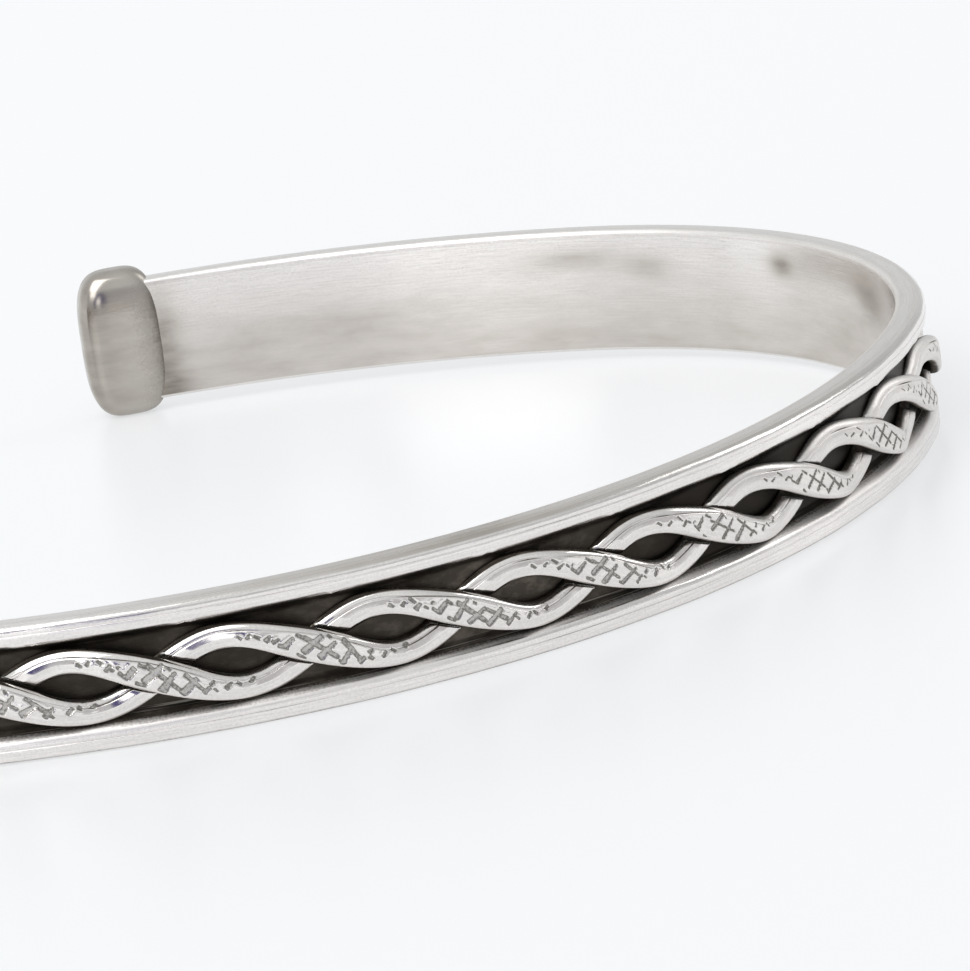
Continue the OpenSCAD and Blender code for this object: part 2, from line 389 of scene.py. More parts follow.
def band_tarnish_and_shade(ring, s):
    """Tarnish on the rim's top, painted shade and dark patches on the inner face, and painted shadow
    beside the caps, darkest above one.
    """
    # painted shade on the inner face, growing towards its lower edge
    inner = np.clip(INNER_SHADE - ring.z / (INNER_BRIGHT_FROM * BAND_H), 0, 1)
    tarnish_and_shade = np.where(ring.inner, inner, 0) + np.where(ring.top, 1.0, 0) * from_table(s, TOP_DULL)
    for at, long, up, tall, size in INNER_DARK_PATCHES:
        tarnish_and_shade = tarnish_and_shade + np.where(ring.inner, size, 0) * hump(s - at, long) * hump(ring.z - up, tall)
    # painted shadow on the inner face beside each cap
    shadow_by_cap = np.where(ring.inner, from_table(ring.z, (CAP_SHADOW_LOW, CAP_SHADOW_HIGH)), 0)
    from_cap = np.maximum(CAP_EDGE - np.abs(s), 0)
    tarnish_and_shade = tarnish_and_shade + shadow_by_cap * hump(from_cap, CAP_SHADOW_REACH)
    return np.clip(tarnish_and_shade, 0, MOST_TARNISH_AND_SHADE)


def make_band():
    ring = Section()
    s = np.linspace(-CAP_MIDDLE, CAP_MIDDLE, BAND_RINGS)[:, None]
    burrs = band_burrs(ring, s)
    points = band_points(ring, s, burrs)
    steps = np.hypot(np.diff(ring.out), np.diff(ring.z))
    round_it = np.concatenate([[0], np.cumsum(steps)])
    uv = np.stack(np.broadcast_arrays(s, round_it[None, :]), -1)
    attributes = {
        "oxide_and_shade": band_oxide_and_shade(ring, s, burrs)[:, ::-1],
        "tarnish_and_shade": band_tarnish_and_shade(ring, s)[:, ::-1],
        "worn": band_wear(ring, s)[:, ::-1],
    }
    return loft("cuff_band_silver", points[:, ::-1], uv[:, ::-1], attributes)


# A cap's rings and the points of each, the powers that shape it, the scale of its texture
# round it and up it, its tarnish, and its oxide with painted shadow towards the joint
CAP_RINGS, CAP_POINTS = 71, 96
CAP_SQUARE, CAP_BARREL = 3.2, 3.4
CAP_TEXTURE_ROUND, CAP_TEXTURE_UP = 1.5, 3
CAP_DULL, CAP_DULL_OUTWARDS, CAP_DULLEST = 1.0, 0.45, 1.4
CAP_OXIDE_AND_SHADE_FROM, CAP_OXIDE_AND_SHADE = 0.1, 0.8


def make_cap(name, side):
    """A pillow-shaped cross-bar: domed on every side, and squarer round its long edges."""
    around = np.linspace(0, 2 * math.pi, CAP_POINTS + 1)[:-1]
    rise = np.sin(np.linspace(-math.pi / 2, math.pi / 2, CAP_RINGS + 2))[1:-1]
    length, depth, height = CAP_LEN / 2, CAP_T / 2, BAND_H / 2 + CAP_OVER
    c, s = np.cos(around), np.sin(around)
    reach = (np.abs(c) ** CAP_SQUARE + np.abs(s) ** CAP_SQUARE) ** (-1 / CAP_SQUARE)
    across = (1 - np.abs(rise) ** CAP_BARREL) ** (1 / CAP_BARREL)
    x = length * across[:, None] * (reach * c)[None, :]
    y = depth * across[:, None] * (reach * s)[None, :]
    z = height * rise[:, None] + 0 * x
    ch, sh = math.cos(CAP_HEADING), math.sin(CAP_HEADING)
    points = lying(side * (CAP_X + x * ch - y * sh), CAP_Y + x * sh + y * ch, z + BAND_H / 2)
    # tarnish grows towards the cap's free end, and oxide with painted shadow towards its joint with the
    # band
    tarnish_and_shade = np.clip(CAP_DULL + CAP_DULL_OUTWARDS * x / length, 0, CAP_DULLEST)
    oxide_and_shade = np.clip(CAP_OXIDE_AND_SHADE_FROM - x / length, 0, 1) * CAP_OXIDE_AND_SHADE
    if side < 0:
        points, tarnish_and_shade, oxide_and_shade = points[:, ::-1], tarnish_and_shade[:, ::-1], oxide_and_shade[:, ::-1]
    round_it, up_it = around[None, :] * CAP_TEXTURE_ROUND, rise[:, None] * CAP_TEXTURE_UP
    uv = np.stack(np.broadcast_arrays(round_it, up_it), -1)
    return loft(name, points, uv, {"oxide_and_shade": oxide_and_shade, "tarnish_and_shade": tarnish_and_shade, "worn": 0 * tarnish_and_shade})


# The two levels of a strand's middle, out of the face, the share of its swing where it has
# reached one of them, and the points across its face
LOW_OUT = -CHANNEL_D + PIECE_GAP + STRAND_T / 2
HIGH_OUT = LOW_OUT + STRAND_T + PIECE_GAP
RISE_END = 0.8
TOP_POINTS = 23

# Beside the strand that passes over it the lower one first slopes down gently and then
# dives: the reach and the drop of the slope, the reach of the dive at the outer tip and
# at the open eye, and the share of its height lost there. First on the side towards +Z.
SLOPE_REACH, SLOPE_DROP = (0.55, 0.35), (0.075, 0.04)
DIVE_TIP, DIVE_EYE, DIVE_LOSS = (0.03, 0.06), (0.24, 0.22), (0.7, 0.8)

# The curve of the dive, where in it the oxide and painted shadow start and how soon they are
# full, and a distance that is out of its reach
DIVE_POWER = 1.3
DIVE_OXIDE_AND_SHADE_FROM, DIVE_OXIDE_AND_SHADE_REACH = 0.02, 0.15
FAR_AWAY = 9.0

# Strokes of the stamped hatching at one crossing, in two slanting rows: place along the
# band from the crossing, height above the middle of the twist, and half length
STROKES_UP = (
    (-2.6, 0.88, 0.14), (-1.95, 0.68, 0.17), (-1.5, 0.62, 0.09), (-1.1, 0.42, 0.27),
    (-0.27, 0.20, 0.52), (0.27, -0.20, 0.52), (1.0, -0.47, 0.45), (1.55, -0.78, 0.20),
    (1.87, -0.58, 0.13), (2.45, -0.8, 0.18), (3.4, -0.82, 0.13),
)
STROKES_DOWN = (
    (-3.0, 0.93, 0.14), (-2.2, 0.90, 0.17), (-1.75, 0.60, 0.12), (-1.4, 0.32, 0.24),
    (-0.8, -0.18, 0.24), (-0.68, 0.55, 0.20), (0.03, -0.03, 0.85), (0.3, 0.3, 0.12),
    (0.7, -0.68, 0.15), (1.2, -0.36, 0.6), (1.88, -0.8, 0.14), (2.9, -0.8, 0.14),
)

# Each row with its slant, thickness and taper
STROKE_ROWS = (
    (STROKES_UP, math.radians(37), 1.0, -0.3),
    (STROKES_DOWN, math.radians(-42), 0.62, 0.0),
)

# The stretch of a strand that is stamped, from the crossing, and some room beside it
STAMPS_FROM, STAMPS_TO, STAMPS_SPARE = -3.2, 4.9, 0.1

# Width and depth of the shortest strokes and what is added up to this half length, how
# broad the strokes are along the band, and the depth that counts as full
LONG_STROKE = 0.3
STROKE_WIDTH, STROKE_WIDTH_ADDED = 0.04, 0.055
STROKE_DEPTH, STROKE_DEPTH_ADDED = 0.021, 0.026
STROKES_BROAD = ((-10, 1.45), (-4, 1.3), (4, 1.0), (26, 0.65))
FULL_STAMP = 0.045

# Chance in each stroke: how far its place and slant spread, and by how much its length,
# width, depth and taper vary
PLACE_SPREAD, UP_SPREAD, SLANT_SPREAD = 0.05, 0.035, 0.12
LENGTH_VARIES, WIDTH_VARIES, DEPTH_VARIES = (0.88, 1.1), (0.75, 1.15), (0.85, 1.15)
TAPER_VARIES = (-0.3, 0.3)

# Scratches on the bevel, near the place where a strand dives again
SCRATCHES, SCRATCHES_FROM = 14, 3.0
SCRATCH_UP, SCRATCH_HALF = (0.22, 0.5), (0.05, 0.16)
SCRATCH_SLANT, SCRATCH_SPREAD = 0.25, 0.4
SCRATCH_WIDTH, SCRATCH_DEPTH = 0.02, 0.01

# A stroke's section: how steep its ends and its sides are, how far a taper may narrow or
# widen it, and the burr beside it, as shares of the stroke's own width and depth
END_STEEP, SIDE_STEEP, TAPER_LIMITS = 5, 2.2, (0.3, 1.7)
STROKE_BURR_AT, STROKE_BURR_REACH, STROKE_BURR_HIGH = 1.5, 0.5, 0.35


def strand_height(turn):
    """Height of a strand's middle above that of the twist. A quarter turn is where it passes over."""
    return SWING * np.cos(turn) - STRAND_LAG * np.sin(2 * turn)


def strand_slope(turn):
    rate = SWING * np.sin(turn) + 2 * STRAND_LAG * np.cos(2 * turn)
    return np.arctan(-rate * math.pi / CROSSING)


def strand_half(turn):
    wave = np.sin(turn)
    widest = np.where(wave > 0, STRAND_OVER_W, STRAND_UNDER_W)
    return STRAND_W / 2 + (widest - STRAND_W) / 2 * wave ** 2


# Steps between a strand's rings: where it is stamped or dives, between the two, and where
# it is hidden, with the distances from where it passes over that bound the last two
FINE_STEP, PLAIN_STEP, HIDDEN_STEP = 0.06, 0.09, 0.15
PLAIN_RANGE, HIDDEN_FROM = (3.2, 3.8), 5.6

# A strand passes over fewer times than this on either side of its first crossing
MOST_OVERS = 8


def stations(first_over):
    """Lengths of a strand's rings along the band, and those where it passes over."""
    overs = first_over + 2 * CROSSING * np.arange(-MOST_OVERS, MOST_OVERS + 1)
    s = [-STRAND_END]
    while s[-1] < STRAND_END:
        from_over = abs(from_nearest(s[-1], first_over, 2 * CROSSING))
        step = FINE_STEP
        if from_over > HIDDEN_FROM:
            step = HIDDEN_STEP
        elif between(from_over, *PLAIN_RANGE):
            step = PLAIN_STEP
        s.append(s[-1] + step)
    s[-1] = STRAND_END
    return np.array(s), overs[np.abs(overs) < STRAND_END + CROSSING]


def stamps(draw, broad):
    """Strokes of one crossing: place along and up from it, slant, half length and width, depth, taper."""
    strokes = []
    for row, slant, thick, taper in STROKE_ROWS:
        for along, up, half in row:
            size = thick * min(1.0, half / LONG_STROKE)
            wide = broad * (STROKE_WIDTH + STROKE_WIDTH_ADDED * size)
            deep = math.sqrt(broad) * (STROKE_DEPTH + STROKE_DEPTH_ADDED * size)
            strokes.append((
                along + draw.normal(0, PLACE_SPREAD),
                up + draw.normal(0, UP_SPREAD),
                slant + draw.normal(0, SLANT_SPREAD),
                half * draw.uniform(*LENGTH_VARIES),
                wide * draw.uniform(*WIDTH_VARIES),
                deep * draw.uniform(*DEPTH_VARIES),
                taper + draw.uniform(*TAPER_VARIES),
            ))
    for _ in range(SCRATCHES):
        along = draw.uniform(SCRATCHES_FROM, STAMPS_TO)
        turn = math.pi / 2 + math.pi * along / CROSSING
        up = float(strand_height(turn)) + draw.uniform(*SCRATCH_UP)
        slant = draw.normal(SCRATCH_SLANT, SCRATCH_SPREAD)
        half = draw.uniform(*SCRATCH_HALF)
        strokes.append((along, up, slant, half, SCRATCH_WIDTH, SCRATCH_DEPTH, 0.0))
    return strokes


def stamped_depth(along, across, strokes):
    """Depth of the strokes at points of a strand's face, and the small burr beside them."""
    depth = np.zeros(along.shape)
    burr = np.zeros(along.shape)
    for at, up, slant, half, wide, deep, taper in strokes:
        a = (along - at) * math.cos(slant) + (across - up) * math.sin(slant)
        b = -(along - at) * math.sin(slant) + (across - up) * math.cos(slant)
        ends = np.clip(END_STEEP * (1 - np.abs(a) / half), 0, 1)
        width = wide * np.clip(1 + taper * a / half, *TAPER_LIMITS)
        shape = np.clip(SIDE_STEEP * (1 - np.abs(b) / width), 0, 1) * ends
        depth = np.maximum(depth, deep * shape)
        beside = hump(np.abs(b) - STROKE_BURR_AT * width, STROKE_BURR_REACH * width) * ends
        burr = np.maximum(burr, STROKE_BURR_HIGH * deep * beside)
    return depth, burr


# Sides of a strand's section from its face outwards: across from its edge, down from the
# face, how dark the oxide is there, with painted shade added to it down the sides, and how
# much painted shade darkens the bevel beside the open eyes. The side towards +Z has a broad
# bevel, with a crease between it and the face.
UPPER_SIDE = np.array([
    (-0.318, -0.006, 0.0, 0.0), (-0.300, -0.025, 0.95, 0.0), (-0.272, -0.022, 0.8, 0.0),
    (-0.248, -0.026, 0.0, 0.0), (-0.195, -0.046, 0.0, 0.1), (-0.135, -0.082, 0.0, 0.3),
    (-0.085, -0.13, 0.0, 0.5), (-0.045, -0.19, 0.05, 0.75), (-0.015, -0.26, 0.2, 0.8),
    (0.0, -0.34, 0.55, 0.45), (-0.02, -0.41, 0.85, 0.15), (-0.07, -0.447, 1.0, 0.0),
])
LOWER_SIDE = np.array([
    (-0.125, -0.005, 0.0), (-0.085, -0.022, 0.0), (-0.038, -0.068, 0.05), (-0.008, -0.13, 0.4),
    (0.0, -0.2, 0.8), (-0.02, -0.33, 1.0), (-0.07, -0.44, 1.0),
])
CREASE = slice(1, 3)

# The face lies between these distances from the two edges. The upper side is narrower
# where the strand passes over, and broader where it passes under.
FACE_TOP, FACE_FOOT = 0.32, 0.13
OVER_NARROWER, UNDER_BROADER = 0.35, 0.12

# The faint ridge along the face: its place across it, how proud it stands where the
# stamping has flattened it, by how much more elsewhere, and how straight its sides fall
RIDGE_AT = 0.42
RIDGE_LEAST, RIDGE_ADDED = 0.01, 0.04
RIDGE_STRAIGHT = 0.75

# The ends are squared off over this length, and strokes fade out this near the edges
END_SQUARED = 0.6
EDGE_ROOM, FOOT_ROOM, ROOM_FADE = 0.06, 0.05, 0.06

# How the crease comes and goes: a middle value, the faintest, two waves besides the
# strand's own, how clear it is along the band, and its blackest place before each crossing,
# which is shifted by chance
CREASE_MIDDLE, CREASE_FAINTEST = 0.5, 0.05
CREASE_OWN_WAVE, CREASE_WAVES = (0.45, 11.3), ((0.35, 6.1, 0.7), (0.25, 3.1, 1.9))
CREASE_CLEAR = ((4, 1.0), (14, 0.35))
CREASE_BLACKEST, CREASE_REACH, CREASE_SHIFT = 2.7, 0.6, (-0.5, 0.7)
SHIFT_SEED = 50

# Painted shade grows on the bevel beside the open eyes from this far past each crossing, over this length
BEVEL_SHADE_FROM, BEVEL_SHADE_LENGTH = 1.5, 1.8

# Satin wear on the strands, along the band
STRAND_WEAR = ((2, 0.0), (8, 0.35), (16, 0.9))


def strand_section(wave, half):
    """Across and down of each point of the section, for every ring, and where the face ends."""
    upper, lower = UPPER_SIDE[::-1], LOWER_SIDE
    over, under = np.clip(wave, 0, 1), np.clip(-wave, 0, 1)
    broad = 1 - OVER_NARROWER * over ** 2 + UNDER_BROADER * under
    face_top, face_foot = half - FACE_TOP * broad, -(half - FACE_FOOT)
    share = np.linspace(0, 1, TOP_POINTS)[None, :]
    face = face_top + (face_foot - face_top) * share
    upper_across, lower_across = half + upper[None, :, 0] * broad, -(half + lower[None, :, 0])
    across = np.concatenate([upper_across, face, lower_across], 1)
    proud = RIDGE_LEAST + RIDGE_ADDED * (1 - over ** 2)
    fall = np.where(share < RIDGE_AT, 1 - share / RIDGE_AT, (share - RIDGE_AT) / (1 - RIDGE_AT))
    crown = -proud * (RIDGE_STRAIGHT * fall + (1 - RIDGE_STRAIGHT) * fall ** 2)
    down = np.concatenate([upper[None, :, 1] - proud, crown, lower[None, :, 1] - proud], 1)
    return across, down, face_foot


def stamp_strand(s, overs, along, up, room, seed):
    """How far the stamping moves each point of a strand, and how strongly it is stamped there."""
    moved = np.zeros(along.shape)
    stamp = np.zeros(along.shape)
    for k, over in enumerate(overs):
        near = between(s, over + STAMPS_FROM - STAMPS_SPARE, over + STAMPS_TO + STAMPS_SPARE)
        if near.any():
            broad = float(from_table(over, STROKES_BROAD))
            strokes = stamps(np.random.default_rng(seed + k), broad)
            depth, burr = stamped_depth(along[near] - over, up[near], strokes)
            moved[near] += (burr - depth) * room[near]
            stamp[near] = depth / FULL_STAMP * room[near]
    return moved, stamp


def dive(first_over, along, across, up, half):
    """Beside the strand that passes over: the drop, the share of height lost, and the dive."""
    other = -math.pi / 2 + math.pi * (along - first_over) / CROSSING
    apart = up - strand_height(other)
    beside = np.abs(apart) * np.cos(strand_slope(other)) - strand_half(other)
    beside = np.where(np.sin(other) > 0, beside, FAR_AWAY)
    from_tip = np.clip((half - np.sign(apart) * across) / (2 * half), 0, 1)

    def side(pair):
        return np.where(apart > 0, pair[0], pair[1])

    reach = side(DIVE_TIP) + (side(DIVE_EYE) - side(DIVE_TIP)) * from_tip
    dived = np.clip(1 - beside / reach, 0, 1)
    sloped = side(SLOPE_DROP) * np.clip(1 - beside / side(SLOPE_REACH), 0, 1)
    return sloped, side(DIVE_LOSS) * dived ** DIVE_POWER, dived


def strand_oxide_and_shade(s, overs, first_over, across, dived, seed):
    """How dark the oxide and painted shade are on a strand: oxide in the crease, oxide and painted shade
    down the sides and where it dives, and painted shade on the bevel beside the open eyes.
    """
    upper, lower = UPPER_SIDE[::-1], LOWER_SIDE
    own_wave = CREASE_OWN_WAVE + (seed,)
    shows = CREASE_MIDDLE + ripple(s, (own_wave,) + CREASE_WAVES)
    shows = np.clip(shows, CREASE_FAINTEST, 1) * from_table(s, CREASE_CLEAR)
    shifts = np.random.default_rng(seed + SHIFT_SEED).uniform(*CREASE_SHIFT, len(overs))
    for over, shift in zip(overs, shifts):
        shows = np.maximum(shows, hump(s - over + CREASE_BLACKEST + shift, CREASE_REACH))
    oxide_and_shade = np.concatenate([upper[:, 2], np.zeros(TOP_POINTS), lower[:, 2]]) + 0 * across
    crease = np.arange(len(upper))[::-1][CREASE]
    oxide_and_shade[:, crease] *= shows[:, None]
    # painted shade on the bevel beside the open eyes, growing past each crossing
    past = from_nearest(s, first_over, 2 * CROSSING)
    bevel_shade = np.clip((past - BEVEL_SHADE_FROM) / BEVEL_SHADE_LENGTH, 0, 1)[:, None]
    oxide_and_shade[:, :len(upper)] += bevel_shade * upper[None, :, 3]
    # oxide and painted shadow where the strand dives beside the one that passes over
    dive_oxide_and_shade = np.clip((dived - DIVE_OXIDE_AND_SHADE_FROM) / DIVE_OXIDE_AND_SHADE_REACH, 0, 1)
    return np.maximum(np.clip(oxide_and_shade, 0, 1), dive_oxide_and_shade)


def make_strand(name, first_over, seed):
    s, overs = stations(first_over)
    turn = (math.pi / 2 + math.pi * (s - first_over) / CROSSING)[:, None]
    wave = np.sin(turn)
    half = strand_half(turn)
    slope = strand_slope(turn)
    across, down, face_foot = strand_section(wave, half)
    squareness = np.minimum(1, (STRAND_END - np.abs(s)) / END_SQUARED)[:, None]
    along = s[:, None] - across * np.sin(slope) * squareness
    up = strand_height(turn) + across * np.cos(slope)
    from_edges = np.minimum(half - EDGE_ROOM - across, across - face_foot + FOOT_ROOM)
    room = np.clip(from_edges / ROOM_FADE, 0, 1)
    moved, stamp = stamp_strand(s, overs, along, up, room, seed)
    sloped, lost, dived = dive(first_over, along, across, up, half)
    lift = np.sign(wave) * np.sin(math.pi / 2 * np.minimum(1, np.abs(wave) / RISE_END))
    foot_out = (LOW_OUT + HIGH_OUT) / 2 + (HIGH_OUT - LOW_OUT) / 2 * lift - STRAND_T / 2
    height = (STRAND_T + down + moved - sloped) * (1 - lost)
    x, y = plan(along, foot_out + height)
    points = lying(x, y, BAND_H / 2 - TWIST_DROP + up)
    middle_slope = (slope[1:, 0] + slope[:-1, 0]) / 2
    run = np.concatenate([[0], np.cumsum(np.diff(s) / np.cos(middle_slope))])
    uv = np.stack(np.broadcast_arrays(run[:, None], across), -1)
    attributes = {
        "oxide_and_shade": strand_oxide_and_shade(s, overs, first_over, across, dived, seed),
        "stamp": stamp,
        "worn": from_table(s, STRAND_WEAR)[:, None] + 0 * across,
    }
    return loft(name, points, uv, attributes)


def opaque(colour, share=(1.0, 1.0, 1.0)):
    """A colour, or a share of each of its channels, with full opacity."""
    return tuple(part * v for part, v in zip(share, colour)) + (1.0,)


# Base colours of the silver on the band, the caps and the strands
BAND_COLOUR = (0.91, 0.88, 0.855)
CAP_COLOUR = (0.73, 0.7, 0.665)
STRAND_COLOUR = (0.87, 0.84, 0.81)

# Shares of the base colour: in fine streaks, where tarnish and painted shade dull it, and where these are
# darkest
STREAKED_SHARE = (0.82, 0.82, 0.82)
TARNISH_AND_SHADE_SHARE = (0.64, 0.62, 0.59)
DARKEST_SHARE = (0.3, 0.28, 0.25)

# Oxide, and the painted shade and shadow that share its colours: its usual and its pale colour, where it
# is blackest, and where scratches go through
OXIDE_AND_SHADE = opaque((0.07, 0.06, 0.049))
OXIDE_AND_SHADE_PALE = opaque((0.17, 0.146, 0.122))
OXIDE_BLACKEST = opaque((0.012, 0.01, 0.008))
OXIDE_SCORED = opaque((0.42, 0.4, 0.36))

# Stamped strokes: their sides, and their bottoms where dark, pale, and deepest
STROKE_SIDE = opaque((0.21, 0.2, 0.18))
STROKE_DARK = opaque((0.25, 0.24, 0.225))
STROKE_PALE = opaque((0.52, 0.5, 0.475))
STROKE_DEEPEST = opaque((0.6, 0.585, 0.56))

# Textures: how fine they are along and across the metal, their detail and their roughness.
# The streaks are finest across the band, and coarser on the strands and on the caps.
PATCHES = (0.35, 1.2, 4.0, 0.6)
GRAIN = (9.0, 9.0, 3.0, 0.6)
CLOUD = (0.9, 1.5, 4.0, 0.62)
SCORES = (0.15, 11.0, 2.0, 0.5)
STREAKS_ALONG, STREAKS_DETAIL, STREAKS_ROUGHNESS = 0.5, 5.0, 0.66
BAND_STREAKS, CAP_STREAKS, STRAND_STREAKS = 14.0, 3.0, 6.0

# Parts that the streaks and the grain have in the bare silver's colour
STREAKS_PART, GRAIN_PART = 0.6, 0.4

# How a texture or a mask is used: two of its values, and what they are turned into
RAGGED = (0.35, 0.65, -0.1, 0.1)
OXIDE_AND_SHADE_SHOWS = (0.22, 0.85, 0.0, 1.0)
CLOUDS_SHOW = (0.45, 0.68, 0.0, 1.0)
FEWER_CLOUDS = (1.0, 1.5, 1.0, 0.1)
BLACKEST_SHOWS = (1.0, 1.5, 0.0, 0.75)
SCORES_SHOW = (0.58, 0.66, 0.0, 0.8)
STREAKS_SHOW = (0.35, 0.6, 0.0, 1.0)
POLISH_VARIES = (0.3, 0.7, 0.09, 0.17)
TARNISH_AND_SHADE_VARIES = (0.3, 0.7, 0.75, 1.1)
DARKEST_SHOWS = (1.0, 2.0, 0.0, 1.0)
STAMP_VARIES = (0.35, 0.62, 0.6, 1.2)
STAMP_SHOWS = (0.12, 0.42, 0.0, 1.0)
BOTTOM_SHOWS = (0.6, 0.95, 0.0, 1.0)
BOTTOM_VARIES = (0.35, 0.62, 0.0, 1.0)
DEEPEST_SHOWS = (1.0, 1.3, 0.0, 0.8)

# Roughness that oxide and painted shade, wear, strokes, and tarnish with its painted shade add to that of
# the polished silver
OXIDE_AND_SHADE_ROUGHER, WORN_ROUGHER, STAMPED_ROUGHER, TARNISH_AND_SHADE_ROUGHER = 0.32, 0.35, 0.2, 0.06

# Bump: depth in metres, its strength on the band and on the strands, and the streaks' part
BUMP_DEPTH, BAND_BUMP, STRAND_BUMP, BUMP_STREAKS = 0.00004, 0.22, 0.1, 0.8


class Nodes:
    """The node tree of a material or of the world, with short calls for what is used here."""

    def __init__(self, owner):
        owner.use_nodes = True
        self.tree = owner.node_tree

    def feed(self, socket, value):
        """Link a node's output to a socket, or set a plain value on it."""
        if isinstance(value, bpy.types.NodeSocket):
            self.tree.links.new(value, socket)
        else:
            socket.default_value = value

    def add(self, kind, inputs, **settings):
        node = self.tree.nodes.new(kind)
        for key, value in settings.items():
            setattr(node, key, value)
        for key, value in inputs.items():
            self.feed(node.inputs[key], value)
        return node

    def fill(self, shader, **inputs):
        """Feed a shader's inputs, whose names have underscores here instead of spaces."""
        for key, value in inputs.items():
            self.feed(self.tree.nodes[shader].inputs[key.replace("_", " ")], value)

    def attribute(self, name):
        return self.add("ShaderNodeAttribute", {}, attribute_name=name).outputs["Fac"]

    def math(self, operation, a, b):
        return self.add("ShaderNodeMath", {0: a, 1: b}, operation=operation).outputs[0]

    def plus(self, a, b):
        return self.math("ADD", a, b)

    def times(self, a, b):
        return self.math("MULTIPLY", a, b)

    def remap(self, value, low, high, to_low, to_high, curve="LINEAR"):
        return self.add("ShaderNodeMapRange", {
            "Value": value, "From Min": low, "From Max": high, "To Min": to_low, "To Max": to_high,
        }, interpolation_type=curve).outputs["Result"]

    def mix(self, factor, a, b, blend="MIX"):
        colours = {0: factor, 6: a, 7: b}
        return self.add("ShaderNodeMix", colours, data_type="RGBA", blend_type=blend).outputs[2]

    def ramp(self, value, stops):
        """The studio's tint at the brightness that a table of positions and levels gives."""
        node = self.add("ShaderNodeValToRGB", {0: value})
        elements = node.color_ramp.elements
        while len(elements) < len(stops):
            elements.new(0.5)
        for element, (position, level) in zip(elements, stops):
            element.position = position
            element.color = opaque(STUDIO_TINT, (level, level, level))
        return node.outputs[0]

    def noise(self, along, across, detail, roughness):
        """Noise over the metal's own run, finer or longer along it and across it."""
        place = self.add("ShaderNodeUVMap", {}, uv_map="run").outputs["UV"]
        stretched = self.add("ShaderNodeMapping", {"Vector": place, "Scale": (along, across, 1.0)})
        return self.add("ShaderNodeTexNoise", {
            "Vector": stretched.outputs["Vector"], "Scale": 1.0, "Detail": detail, "Roughness": roughness,
        }).outputs["Fac"]


def silver(name, base, streak, stamped):
    material = bpy.data.materials.new(name)
    n = Nodes(material)
    patches = n.noise(*PATCHES)
    streaks = n.noise(STREAKS_ALONG, streak, STREAKS_DETAIL, STREAKS_ROUGHNESS)
    grain = n.noise(*GRAIN)
    # oxide and painted shade, with a ragged border, paler in clouds, and blackest where it is above one
    mask = n.attribute("oxide_and_shade")
    ragged = n.plus(n.plus(mask, n.remap(grain, *RAGGED)), n.remap(streaks, *RAGGED))
    dark = n.remap(ragged, *OXIDE_AND_SHADE_SHOWS)
    clouds = n.times(n.remap(n.noise(*CLOUD), *CLOUDS_SHOW), n.remap(mask, *FEWER_CLOUDS))
    black = n.mix(clouds, OXIDE_AND_SHADE, OXIDE_AND_SHADE_PALE)
    black = n.mix(n.remap(mask, *BLACKEST_SHOWS), black, OXIDE_BLACKEST)
    worn = n.attribute("worn")
    if not stamped:
        scores = n.remap(n.noise(*SCORES), *SCORES_SHOW)
        black = n.mix(n.times(worn, scores), black, OXIDE_SCORED)
    # bare silver, a little darker in fine streaks
    speckle = n.plus(n.times(streaks, STREAKS_PART), n.times(grain, GRAIN_PART))
    bare = n.mix(n.remap(speckle, *STREAKS_SHOW), opaque(base, STREAKED_SHARE), opaque(base))
    colour = n.mix(dark, bare, black)
    rough = n.plus(n.remap(patches, *POLISH_VARIES), n.times(dark, OXIDE_AND_SHADE_ROUGHER))
    rough = n.plus(rough, n.times(worn, WORN_ROUGHER))
    if stamped:
        # strokes have dark sides and a grey bottom, which is palest in the deepest ones
        depth = n.attribute("stamp")
        uneven = n.times(depth, n.remap(grain, *STAMP_VARIES))
        inside = n.remap(uneven, *STAMP_SHOWS)
        grey = n.mix(n.remap(grain, *BOTTOM_VARIES), STROKE_DARK, STROKE_PALE)
        grey = n.mix(n.remap(depth, *DEEPEST_SHOWS), grey, STROKE_DEEPEST)
        stroke = n.mix(n.remap(uneven, *BOTTOM_SHOWS), STROKE_SIDE, grey)
        colour = n.mix(inside, colour, stroke)
        rough = n.plus(rough, n.times(inside, STAMPED_ROUGHER))
    else:
        # tarnish, and on the band painted shade and painted shadow too, darkest above one
        tarnish_and_shade = n.times(n.attribute("tarnish_and_shade"), n.remap(patches, *TARNISH_AND_SHADE_VARIES))
        darkest = n.remap(tarnish_and_shade, *DARKEST_SHOWS)
        tarnish_and_shade_colour = n.mix(darkest, opaque(base, TARNISH_AND_SHADE_SHARE), opaque(base, DARKEST_SHARE))
        colour = n.mix(tarnish_and_shade, colour, tarnish_and_shade_colour)
        rough = n.plus(rough, n.times(tarnish_and_shade, TARNISH_AND_SHADE_ROUGHER))
    height = n.plus(n.times(streaks, BUMP_STREAKS), n.times(grain, 1 - BUMP_STREAKS))
    strength = STRAND_BUMP if stamped else BAND_BUMP
    bump = n.add("ShaderNodeBump", {"Strength": strength, "Distance": BUMP_DEPTH, "Height": height})
    normal = bump.outputs["Normal"]
    n.fill("Principled BSDF", Base_Color=colour, Metallic=1.0, Roughness=rough, Normal=normal)
    return material


band = make_band()
band.data.materials.append(silver("polished_silver", BAND_COLOUR, BAND_STREAKS, False))
cap_left = make_cap("end_cap_left", -1)
cap_right = make_cap("end_cap_right", 1)
cap_finish = silver("cap_silver", CAP_COLOUR, CAP_STREAKS, False)
for cap in (cap_left, cap_right):
    cap.data.materials.append(cap_finish)
for piece in (band, cap_left, cap_right):
    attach(piece, "root")
    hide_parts("cuff_band")

# Each strand with its first crossing to the right of the middle, and its seed
STRANDS = (("a", CROSSING_SHIFT, 100), ("b", CROSSING_SHIFT + CROSSING, 200))

